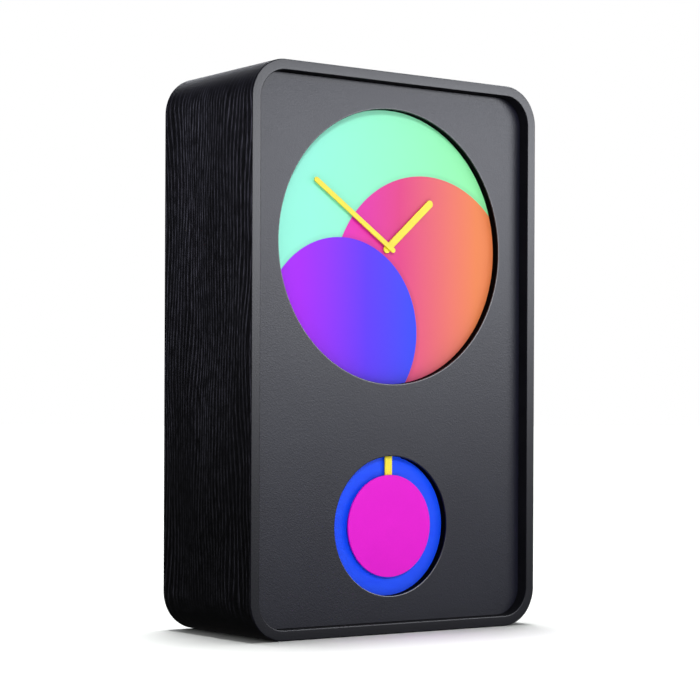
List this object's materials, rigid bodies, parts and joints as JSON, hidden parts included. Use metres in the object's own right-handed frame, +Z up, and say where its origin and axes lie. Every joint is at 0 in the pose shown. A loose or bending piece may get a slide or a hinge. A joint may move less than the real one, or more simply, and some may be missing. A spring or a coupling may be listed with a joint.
{
  "type": "pendulum desk clock",
  "caption": "Upright rounded wooden desk clock with a recessed black panel, a round printed dial with bar hands, and a pendulum behind a round window.",
  "frame": {"origin": "centre of the base, on the surface the clock stands on", "axes": "+Z up, -Y out of the dial towards the viewer, +X to the viewer's right when facing the dial"},
  "size_m": [0.19, 0.086, 0.3],
  "materials": {
    "stained_veneer": "black stained open-pore oak veneer, satin",
    "painted_panel": "matte dark grey paint on board",
    "dial_print": null,
    "window_print": "plain blue print",
    "pine": "planed, unfinished",
    "raw_board": "raw fibre board",
    "black_board": "black dyed hardboard",
    "zinc_steel": "zinc plated",
    "yellow_paint": "satin yellow lacquer",
    "magenta_paint": "satin magenta lacquer",
    "black_plastic": "finely grained moulding",
    "white_nylon": "natural moulding",
    "brass": "bright",
    "black_rubber": "matte",
    "copper_wire": "enamelled copper winding",
    "magnet_steel": "sintered, plain",
    "circuit_resin": "green solder mask",
    "battery_sleeve": "plain blue sleeve"
  },
  "bodies": {
    "case": {"case_shell": "stained_veneer", "front_panel": "painted_panel", "dial_disc": "dial_print", "window_disc": "window_print", "front_batten_left": "pine", "front_batten_right": "pine", "front_batten_top": "pine", "front_batten_bottom": "pine", "rear_batten_left": "pine", "rear_batten_right": "pine", "rear_batten_top": "pine", "rear_batten_bottom": "pine", "carrier_board": "raw_board", "back_board": "black_board", "back_board_screw_1": "zinc_steel", "back_board_screw_2": "zinc_steel", "back_board_screw_3": "zinc_steel", "back_board_screw_4": "zinc_steel", "back_board_screw_5": "zinc_steel", "back_board_screw_6": "zinc_steel", "movement_housing": "black_plastic", "middle_plate": "white_nylon", "movement_cover": "black_plastic", "rubber_washer": "black_rubber", "brass_washer": "brass", "hex_nut": "brass", "stator": "magnet_steel", "coil_bobbin": "black_plastic", "motor_coil": "copper_wire", "circuit_board": "circuit_resin", "quartz_crystal": "zinc_steel", "battery": "battery_sleeve", "battery_contact_positive": "zinc_steel", "battery_contact_negative": "zinc_steel", "pendulum_pin": "zinc_steel", "pendulum_coil": "copper_wire"},
    "minute_group": {"minute_hand": "yellow_paint", "minute_arbor": "zinc_steel", "clutch_spring": "brass"},
    "hour_group": {"hour_hand": "yellow_paint", "hour_wheel": "brass"},
    "minute_wheel_group": {"minute_wheel": "white_nylon"},
    "setting_group": {"setting_pinion": "white_nylon", "setting_knob": "white_nylon"},
    "centre_group": {"centre_wheel": "white_nylon"},
    "third_group": {"third_wheel": "white_nylon"},
    "second_group": {"second_wheel": "white_nylon"},
    "fifth_group": {"fifth_wheel": "white_nylon"},
    "rotor_group": {"rotor_pinion": "white_nylon", "rotor_magnet": "magnet_steel"},
    "pendulum_group": {"pendulum_hanger": "zinc_steel", "pendulum_magnet": "magnet_steel", "pendulum_rod": "yellow_paint", "pendulum_bob": "magenta_paint"}
  },
  "joints": [
    {"name": "minute_hand_turn", "type": "hinge", "parent": "case", "child": "minute_group", "pos_m": [0, -0.0203, 0.2073], "axis": [0, 1, 0], "continuous": true},
    {"name": "hour_hand_turn", "type": "hinge", "parent": "case", "child": "hour_group", "pos_m": [0, -0.0203, 0.2073], "axis": [0, 1, 0], "continuous": true},
    {"name": "minute_wheel_turn", "type": "hinge", "parent": "case", "child": "minute_wheel_group", "pos_m": [0.00846, -0.0203, 0.21038], "axis": [0, 1, 0], "continuous": true},
    {"name": "setting_knob_turn", "type": "hinge", "parent": "case", "child": "setting_group", "pos_m": [0.01625, -0.0203, 0.20588], "axis": [0, 1, 0], "continuous": true},
    {"name": "fifth_wheel_turn", "type": "hinge", "parent": "case", "child": "fifth_group", "pos_m": [0.00312, -0.0203, 0.2127], "axis": [0, 1, 0], "continuous": true},
    {"name": "rotor_turn", "type": "hinge", "parent": "case", "child": "rotor_group", "pos_m": [0.00786, -0.0203, 0.21443], "axis": [0, 1, 0], "continuous": true},
    {"name": "second_wheel_turn", "type": "hinge", "parent": "case", "child": "second_group", "pos_m": [0, -0.0203, 0.2073], "axis": [0, 1, 0], "continuous": true},
    {"name": "third_wheel_turn", "type": "hinge", "parent": "case", "child": "third_group", "pos_m": [-0.00779, -0.0203, 0.2118], "axis": [0, 1, 0], "continuous": true},
    {"name": "centre_wheel_turn", "type": "hinge", "parent": "case", "child": "centre_group", "pos_m": [0, -0.0203, 0.2073], "axis": [0, 1, 0], "continuous": true},
    {"name": "pendulum_swing", "type": "hinge", "parent": "case", "child": "pendulum_group", "pos_m": [0, -0.0106, 0.16763], "axis": [0, 1, 0], "range_deg": [-4, 4]}
  ],
  "couplings": [
    {"joint": "hour_hand_turn", "follows": "minute_hand_turn", "ratio": 0.083333},
    {"joint": "minute_wheel_turn", "follows": "minute_hand_turn", "ratio": -0.33333},
    {"joint": "setting_knob_turn", "follows": "minute_hand_turn", "ratio": 1},
    {"joint": "rotor_turn", "follows": "fifth_wheel_turn", "ratio": -6},
    {"joint": "second_wheel_turn", "follows": "fifth_wheel_turn", "ratio": -0.2},
    {"joint": "third_wheel_turn", "follows": "fifth_wheel_turn", "ratio": 0.026667},
    {"joint": "centre_wheel_turn", "follows": "fifth_wheel_turn", "ratio": -0.0033333}
  ]
}
